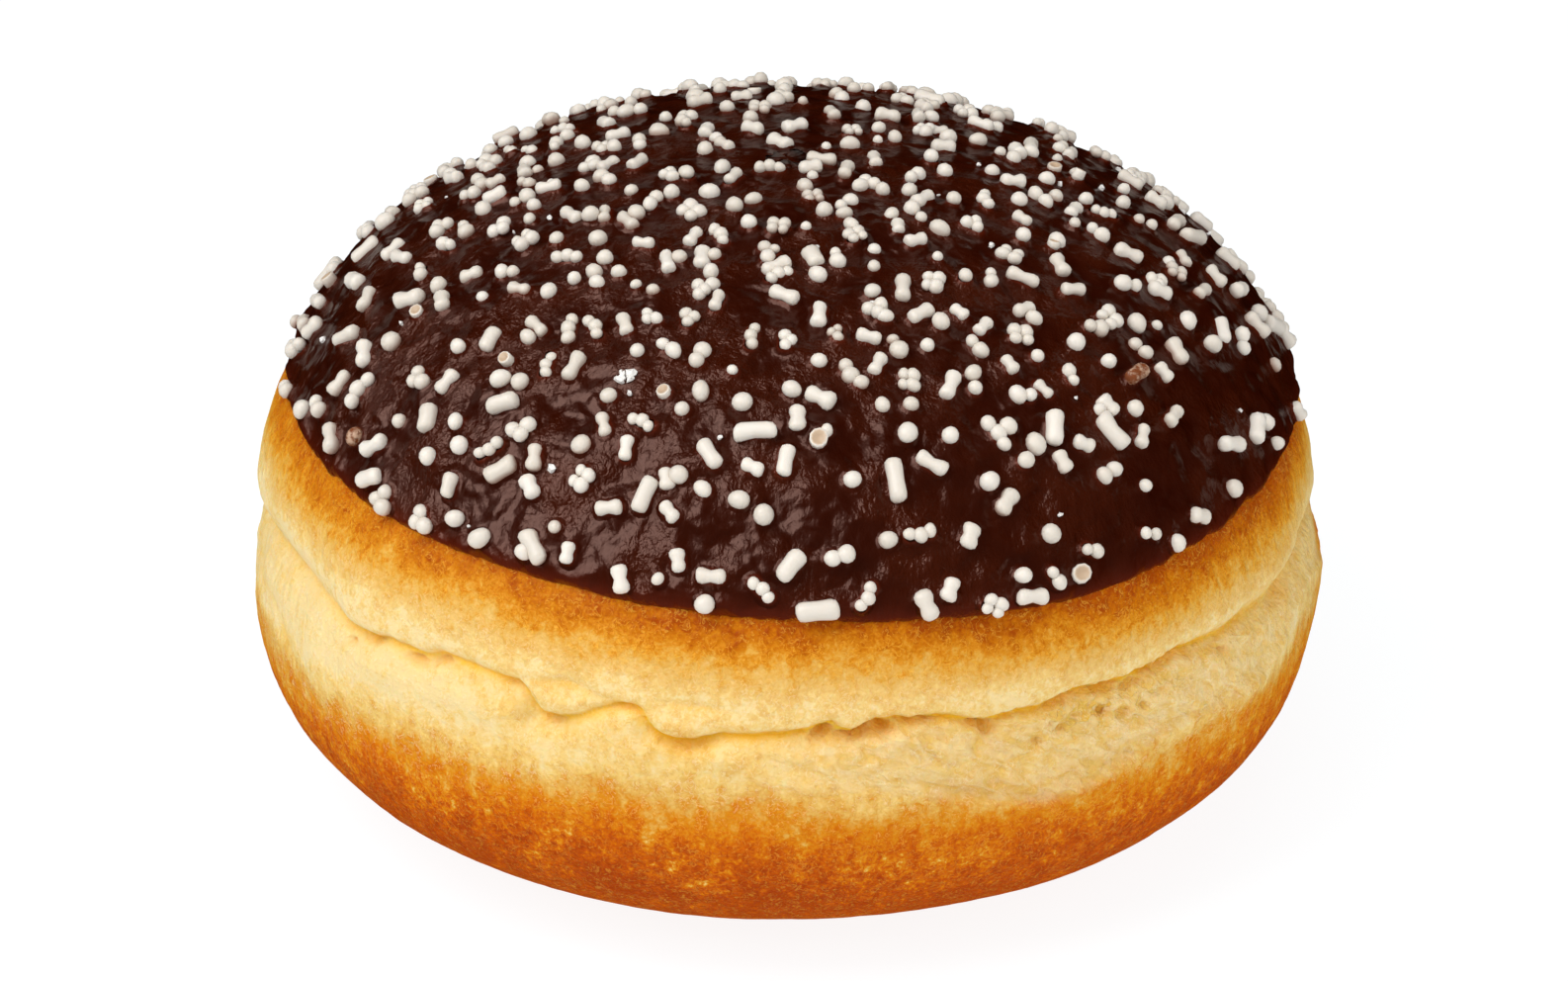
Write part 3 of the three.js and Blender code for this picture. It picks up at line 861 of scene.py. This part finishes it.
    def settle(self):
        """Lays each sprinkle on the finished icing, once all are placed."""
        azimuth = np.array([one.azimuth for one in self.placed])
        share = np.array([one.share for one in self.placed])
        spots, facing = dome(azimuth, share, icing_lift(share))
        spots = spots + facing * icing_relief(spots, azimuth, share)[:, None]
        lobes = []
        for one, spot, up in zip(self.placed, spots, facing):
            one.lie(spot, up)
            if one.kind != "sugar_crumbs":
                lobes += one.lobes()
        self.tree = KDTree(len(lobes))
        for lobe in lobes:
            self.tree.insert(Vector(lobe), 0)
        self.tree.balance()

    def distance_to(self, spots):
        return np.array([self.tree.find(Vector(spot))[2] for spot in spots])

    def make(self, kind):
        """All sprinkles of one kind, joined in one mesh."""
        draw = random.Random(len(kind))
        spots, faces, marks = [], [], {"tint": [], "break": [], "film": []}
        total = 0
        for one in self.placed:
            if one.kind != kind:
                continue
            body = one.body(draw, seed=total % 97)
            height, axes = one.stance(draw)
            turned = sum(body[:, i : i + 1] * axis for i, axis in enumerate(axes))
            spots.append(one.spot + one.up * height + turned)
            faces += [tuple(corner + total for corner in face) for face in one.shape.faces]
            total += len(body)
            above = height + turned @ one.up
            marks["tint"].append(np.full(len(body), one.luck))
            marks["break"].append((one.shape.rows >= 5) * float(kind == "sugar_broken"))
            wet = 0.62 + 0.38 * fade(0.75, 1, one.luck)
            marks["film"].append(wet * (1 - fade(0.05 * MM, (0.32 + 0.5 * one.luck**3) * MM, above)))
        piece = joined(kind, np.concatenate(spots).tolist(), faces, smooth=kind != "sugar_crumbs")
        for name, values in marks.items():
            paint(piece, name, np.concatenate(values))
        return piece


def make_collars(sprinkles, icing):
    """The little rims of icing that creep up round each sprinkle."""
    around = 16
    skin = BVHTree.FromPolygons(corners(icing).tolist(), [tuple(f.vertices) for f in icing.data.polygons])
    spots, faces = [], []
    rimmed = [one for one in sprinkles.placed if one.kind != "sugar_crumbs"]
    for one in rimmed:
        reach = max(one.shape.length - one.shape.thickness, 0) / 2
        if one.kind == "sugar_broken":
            reach = 0
        first = len(spots)
        for out, height, _ in RIM_STEPS:
            width = 0.90 * one.shape.thickness / 2 + out * MM
            for i in range(around):
                turn = TURN * (i + 0.5) / around
                end = math.copysign(reach, math.cos(turn))
                rim = one.spot + one.way * (end + width * math.cos(turn)) + one.side * width * math.sin(turn)
                found, normal, _, _ = skin.find_nearest(Vector(rim))
                spots.append(found + normal * height * MM)
        for ring in range(len(RIM_STEPS) - 1):
            for i in range(around):
                a, b = first + ring * around + i, first + ring * around + (i + 1) % around
                faces.append((a, a + around, b + around, b))
    piece = joined("icing_rims", spots, faces)
    paint(piece, "thin", np.tile(np.repeat([thin for *_, thin in RIM_STEPS], around), len(rimmed)))
    return piece


# ---- finishes ----
class Socket:
    """A socket that can be reckoned with: every operator adds its Math node."""

    def __init__(self, recipe, socket):
        self.recipe, self.socket = recipe, socket

    def maths(self, operation, first, second):
        return self.recipe.node("ShaderNodeMath", {"operation": operation}, {0: first, 1: second})

    def __add__(self, other):
        return self.maths("ADD", self, other)

    def __radd__(self, other):
        return self.maths("ADD", other, self)

    def __sub__(self, other):
        return self.maths("SUBTRACT", self, other)

    def __rsub__(self, other):
        return self.maths("SUBTRACT", other, self)

    def __mul__(self, other):
        return self.maths("MULTIPLY", self, other)

    def __rmul__(self, other):
        return self.maths("MULTIPLY", other, self)

    def __abs__(self):
        return self.recipe.node("ShaderNodeMath", {"operation": "ABSOLUTE"}, {0: self})


class Recipe:
    """One material, built node by node."""

    def __init__(self, name):
        self.material = bpy.data.materials.new(name)
        self.material.use_nodes = True
        self.tree = self.material.node_tree
        self.shader = self.tree.nodes["Principled BSDF"]

    def feed(self, socket, value):
        if isinstance(value, Socket):
            self.tree.links.new(value.socket, socket)
        else:
            socket.default_value = value

    def node(self, kind, settings=None, sockets=None, output=0):
        """Adds a node: first its settings, then the values or links of its sockets."""
        made = self.tree.nodes.new(kind)
        for setting, value in (settings or {}).items():
            if setting == "stops":
                stops = made.color_ramp.elements
                for place, colour in value[1:-1]:
                    stops.new(place).color = (*colour, 1)
                for stop, (place, colour) in ((stops[0], value[0]), (stops[-1], value[-1])):
                    stop.position, stop.color = place, (*colour, 1)
            else:
                setattr(made, setting, value)
        for socket, value in (sockets or {}).items():
            self.feed(made.inputs[socket], value)
        return Socket(self, made.outputs[output])

    def place(self):
        return self.node("ShaderNodeTexCoord", output="Object")

    def axis(self, name):
        return self.node("ShaderNodeSeparateXYZ", {}, {0: self.place()}, output=name)

    def mark(self, name):
        return self.node("ShaderNodeAttribute", {"attribute_name": name}, output="Fac")

    def noise(self, grain, detail=3.0, roughness=0.5, distortion=0.0, at=None):
        """Noise with lumps about grain metres across."""
        sockets = {
            "Vector": at or self.place(),
            "Scale": 1 / grain,
            "Detail": detail,
            "Roughness": roughness,
            "Distortion": distortion,
        }
        return self.node("ShaderNodeTexNoise", {"noise_dimensions": "3D"}, sockets)

    def clamp(self, value, low, high):
        """0 at low, 1 at high."""
        return self.node(
            "ShaderNodeMapRange",
            {"interpolation_type": "SMOOTHSTEP"},
            {"Value": value, "From Min": low, "From Max": high},
        )

    def ramp(self, value, stops):
        return self.node("ShaderNodeValToRGB", {"stops": stops}, {"Fac": value})

    def blend(self, share, first, second):
        """The first colour where the share is 0, and the second where it is 1."""
        first, second = [(*c, 1) if isinstance(c, tuple) else c for c in (first, second)]
        sockets = {0: share, 6: first, 7: second}
        return self.node("ShaderNodeMix", {"data_type": "RGBA"}, sockets, output=2)

    def bump(self, height, depth):
        return self.node("ShaderNodeBump", {}, {"Height": height, "Distance": depth, "Strength": 1.0})

    def finish(self, **sockets):
        for name, value in sockets.items():
            self.feed(self.shader.inputs[name.replace("_", " ")], value)
        return self.material


def fried_dough():
    recipe = Recipe("fried dough")
    drawn = recipe.node("ShaderNodeMapping", {}, {"Vector": recipe.place(), "Scale": (1.0, 1.0, 0.4)})
    patches = recipe.noise(6 * MM, 2.0, 0.5)
    blotches = recipe.noise(2.2 * MM, 2.0, 0.5, 0.3)
    streaks = recipe.noise(0.9 * MM, 2.0, 0.5, 0.4, at=drawn)
    speckle = recipe.noise(0.75 * MM, 2.0, 0.55, 0.4)
    felt = recipe.noise(0.34 * MM, 2.0, 0.55, 0.9)
    soft = (patches - 0.5) * 0.6 + (blotches - 0.5) * 1.0 + (streaks - 0.5) * 0.8
    fine = (speckle - 0.5) * 1.2 + (0.5 - felt) * 1.0
    deep = recipe.clamp(recipe.mark("lower_toast"), 0.35, 0.75)
    upper = recipe.ramp(
        recipe.mark("upper_toast") + soft * 0.4 + fine * 0.45,
        [
            (0.0, (0.89, 0.685, 0.335)),
            (0.13, (0.845, 0.58, 0.195)),
            (0.22, (0.81, 0.52, 0.165)),
            (0.35, (0.77, 0.45, 0.105)),
            (0.5, (0.73, 0.36, 0.046)),
            (0.6, (0.685, 0.27, 0.013)),
            (0.72, (0.60, 0.188, 0.003)),
            (0.87, (0.49, 0.115, 0.001)),
            (0.98, (0.40, 0.07, 0.001)),
        ],
    )
    lower = recipe.ramp(
        recipe.mark("lower_toast") + soft * (0.4 + deep * 0.4) + fine * (0.25 + deep * 0.65),
        [
            (0.0, (0.89, 0.685, 0.335)),
            (0.13, (0.86, 0.58, 0.18)),
            (0.24, (0.76, 0.43, 0.09)),
            (0.36, (0.715, 0.275, 0.010)),
            (0.46, (0.67, 0.190, 0.002)),
            (0.58, (0.60, 0.123, 0.001)),
            (0.74, (0.50, 0.080, 0.001)),
            (1.0, (0.40, 0.053, 0.001)),
        ],
    )
    skin = recipe.blend(recipe.mark("below_crease"), upper, lower)
    # painted shade: a deeper, more saturated yellow in the hollow under the crease
    skin = recipe.blend(recipe.mark("valley") * 0.25, skin, (0.87, 0.605, 0.21))
    # torn dough shows slanting fibres, pale strands and open pores, with painted shade in the pores
    torn, porous = recipe.mark("torn"), recipe.mark("porous")
    places = {"X": recipe.mark("lay") * 1.1, "Y": recipe.axis("X") * 600, "Z": recipe.axis("Y") * 600}
    slanting = recipe.node("ShaderNodeCombineXYZ", {}, places)
    fibres = recipe.noise(1.0, 3.0, 0.5, 0.9, at=slanting)
    sponge = recipe.noise(0.9 * MM, 2.0, 0.5, 0.3) + (blotches - 0.5) * 0.3
    shaded_pits = recipe.clamp(sponge + porous * 0.08, 0.58, 0.68)
    crumb = recipe.blend(recipe.clamp(fibres, 0.36, 0.62), (0.80, 0.505, 0.135), (0.87, 0.64, 0.31))
    # painted shade: darker tan inside the pores
    crumb = recipe.blend(shaded_pits * porous, crumb, (0.78, 0.46, 0.06))
    skin = recipe.blend(torn * 0.7, skin, crumb)
    curls = recipe.noise(0.60 * MM, 2.0, 0.5, 1.0)
    some = recipe.clamp(speckle + (streaks - 0.5) * 0.6, 0.42, 0.58)
    hairs = (1 - recipe.clamp(abs(curls - 0.5), 0.0, 0.05)) * some
    pale = 1 - recipe.clamp(recipe.mark("upper_toast") + recipe.mark("lower_toast"), 0.25, 0.6)
    hair = recipe.blend(pale, (0.96, 0.54, 0.06), (0.97, 0.83, 0.55))
    skin = recipe.blend(hairs * (0.40 - deep * 0.12), skin, hair)
    # painted shade: amber in the crease, standing in for its shade and the light glowing through the dough
    skin = recipe.blend(recipe.mark("in_crease") * 0.9, skin, (0.94, 0.51, 0.007))
    # painted shade: a darker orange inside the open gaps under the lip
    skin = recipe.blend(recipe.mark("hole") * 0.85, skin, (0.94, 0.45, 0.003))
    height = speckle * 0.5 + felt * 0.25 + streaks * 0.4 + torn * fibres * 0.9 - shaded_pits * porous * 0.3
    return recipe.finish(
        Base_Color=skin,
        Roughness=0.58 - felt * 0.2,
        Normal=recipe.bump(height, 0.5 * MM),
        Subsurface_Weight=0.55,
        Subsurface_Radius=(1.0, 0.66, 0.34),
        Subsurface_Scale=0.9 * MM,
        Specular_IOR_Level=0.10,
    )


def dark_chocolate():
    recipe = Recipe("dark chocolate")
    cloud = recipe.noise(5 * MM, 2.0, 0.5)
    lumps = recipe.noise(1.9 * MM, 1.0, 0.4, 0.3)
    drawn = recipe.node("ShaderNodeMapping", {}, {"Vector": recipe.place(), "Scale": (1.0, 1.0, 0.45)})
    wrinkles = recipe.noise(0.7 * MM, 2.0, 0.45, 0.4, at=drawn)
    thin = recipe.mark("thin")
    colour = recipe.blend(recipe.clamp(cloud, 0.35, 0.7), (0.025, 0.0024, 0.0001), (0.040, 0.0046, 0.0003))
    colour = recipe.blend(thin * 0.8, colour, (0.125, 0.0115, 0.002))
    wrinkled = recipe.clamp(cloud, 0.40, 0.60)
    grain = recipe.noise(0.36 * MM, 2.0, 0.55, 0.3, at=drawn)
    swells = recipe.noise(3.2 * MM, 1.0, 0.4, 0.4)
    relief = swells * 0.8 + lumps * 0.55 + wrinkles * (0.05 + wrinkled * 0.09)
    relief = relief + grain * (0.05 + wrinkled * 0.13)
    return recipe.finish(
        Base_Color=colour,
        Roughness=0.24 + grain * 0.14,
        Normal=recipe.bump(relief, 1.0 * MM),
        Specular_IOR_Level=0.64,
        Specular_Tint=(1.0, 0.60, 0.49, 1),
    )


def sugar():
    recipe = Recipe("white sugar")
    grain = recipe.noise(0.5 * MM, 3.0, 0.5)
    tint = recipe.mark("tint")
    shell = recipe.blend(tint, (0.80, 0.74, 0.66), (0.69, 0.625, 0.54))
    colour = recipe.blend(recipe.mark("break"), shell, (0.55, 0.40, 0.27))
    colour = recipe.blend(recipe.mark("film") * 0.85, colour, (0.26, 0.085, 0.035))
    return recipe.finish(
        Base_Color=colour,
        Roughness=0.34 + grain * 0.1,
        Normal=recipe.bump(grain, 0.05 * MM),
        Subsurface_Weight=0.2,
        Subsurface_Radius=(1.0, 0.8, 0.6),
        Subsurface_Scale=0.4 * MM,
        Specular_IOR_Level=0.5,
    )


def sugar_crumb():
    recipe = Recipe("crushed sugar")
    grain = recipe.noise(0.2 * MM, 3.0, 0.6)
    return recipe.finish(
        Base_Color=recipe.blend(grain, (0.80, 0.77, 0.72), (0.92, 0.90, 0.87)),
        Roughness=0.5,
        Normal=recipe.bump(grain, 0.08 * MM),
    )


def milk_chocolate_film():
    recipe = Recipe("chocolate film on sugar")
    patches = recipe.clamp(recipe.noise(0.8 * MM, 3.0, 0.6), 0.42, 0.62)
    return recipe.finish(
        Base_Color=recipe.blend(patches, (0.20, 0.055, 0.018), (0.52, 0.33, 0.22)),
        Roughness=0.18 + patches * 0.2,
        Normal=recipe.bump(patches, 0.08 * MM),
    )


def dress(piece, material):
    piece.data.materials.clear()
    piece.data.materials.append(material)


# ---- putting it together ----
sprinkles = Sprinkles()
sprinkles.settle()

dough = make_dough()
dress(dough, fried_dough())
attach(dough, "root")
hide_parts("dough")

chocolate = dark_chocolate()
icing = make_icing(sprinkles)
dress(icing, chocolate)
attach(icing, "root")
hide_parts("chocolate_icing")

rims = make_collars(sprinkles, icing)
dress(rims, chocolate)
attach(rims, "root")

white_sugar = sugar()
finishes = {"sugar_crumbs": sugar_crumb(), "coated_sprinkles": milk_chocolate_film()}
for kind in sprinkles.kinds:
    piece = sprinkles.make(kind)
    dress(piece, finishes.get(kind, white_sugar))
    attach(piece, "root")


# ---- the table, the light and the camera ----
def table_top():
    deselect()
    bpy.ops.mesh.primitive_plane_add(size=3)
    floor = bpy.context.object
    floor.name = "table"
    white = Recipe("white table").finish(
        Base_Color=(0.16, 0.19, 0.20, 1),
        Roughness=0.8,
        Specular_IOR_Level=0.1,
        Emission_Color=(1, 1, 1, 1),
        Emission_Strength=0.89,
    )
    dress(floor, white)
    floor.visible_glossy = False


def softbox(name, azimuth, elevation, reach, size, watts, glossy=True):
    """A square lamp that faces the doughnut from an azimuth and elevation in degrees."""
    lamp = bpy.data.lights.new(name, "AREA")
    lamp.size, lamp.energy = size, watts
    holder = bpy.data.objects.new(name, lamp)
    turn, lifted = math.radians(azimuth), math.radians(elevation)
    level, height = reach * math.cos(lifted), reach * math.sin(lifted)
    place = Vector((level * math.cos(turn), level * math.sin(turn), height))
    holder.location = place + Vector((0, 0, WAIST))
    holder.rotation_euler = place.to_track_quat("Z", "Y").to_euler()
    holder.visible_glossy = glossy
    bpy.context.scene.collection.objects.link(holder)


CAMERA_ELEVATION = math.radians(27)
CAMERA_REACH = 0.45
CAMERA_LENS = 127.4
CAMERA_AIM = -0.28 * MM, 2.59 * MM  # how far right of the middle and above the widest level it aims


def camera():
    toward = Vector((0, math.cos(CAMERA_ELEVATION), -math.sin(CAMERA_ELEVATION)))
    upward = Vector((0, math.sin(CAMERA_ELEVATION), math.cos(CAMERA_ELEVATION)))
    aim = Vector((CAMERA_AIM[0], 0, WAIST)) + upward * CAMERA_AIM[1]
    lens = bpy.data.cameras.new("camera")
    lens.lens = CAMERA_LENS
    lens.clip_start = 10 * MM
    eye = bpy.data.objects.new("camera", lens)
    eye.location = aim - toward * CAMERA_REACH
    eye.rotation_euler = toward.to_track_quat("-Z", "Y").to_euler()
    bpy.context.scene.collection.objects.link(eye)
    bpy.context.scene.camera = eye


table_top()
softbox("key", -152, 46, 0.75, 0.60, 4.0)
softbox("front fill", -80, 22, 0.7, 0.6, 1.3, glossy=False)
softbox("right fill", -22, 28, 0.7, 0.6, 1.2, glossy=False)
softbox("top", -90, 80, 0.68, 0.6, 1.65, glossy=False)
camera()

world = bpy.data.worlds.new("studio")
world.use_nodes = True
world.node_tree.nodes["Background"].inputs["Color"].default_value = (1, 1, 1, 1)
world.node_tree.nodes["Background"].inputs["Strength"].default_value = 0.15
world.cycles_visibility.glossy = False  # only the key is mirrored in the glaze
bpy.context.scene.world = world
bpy.context.scene.view_settings.view_transform = "Standard"
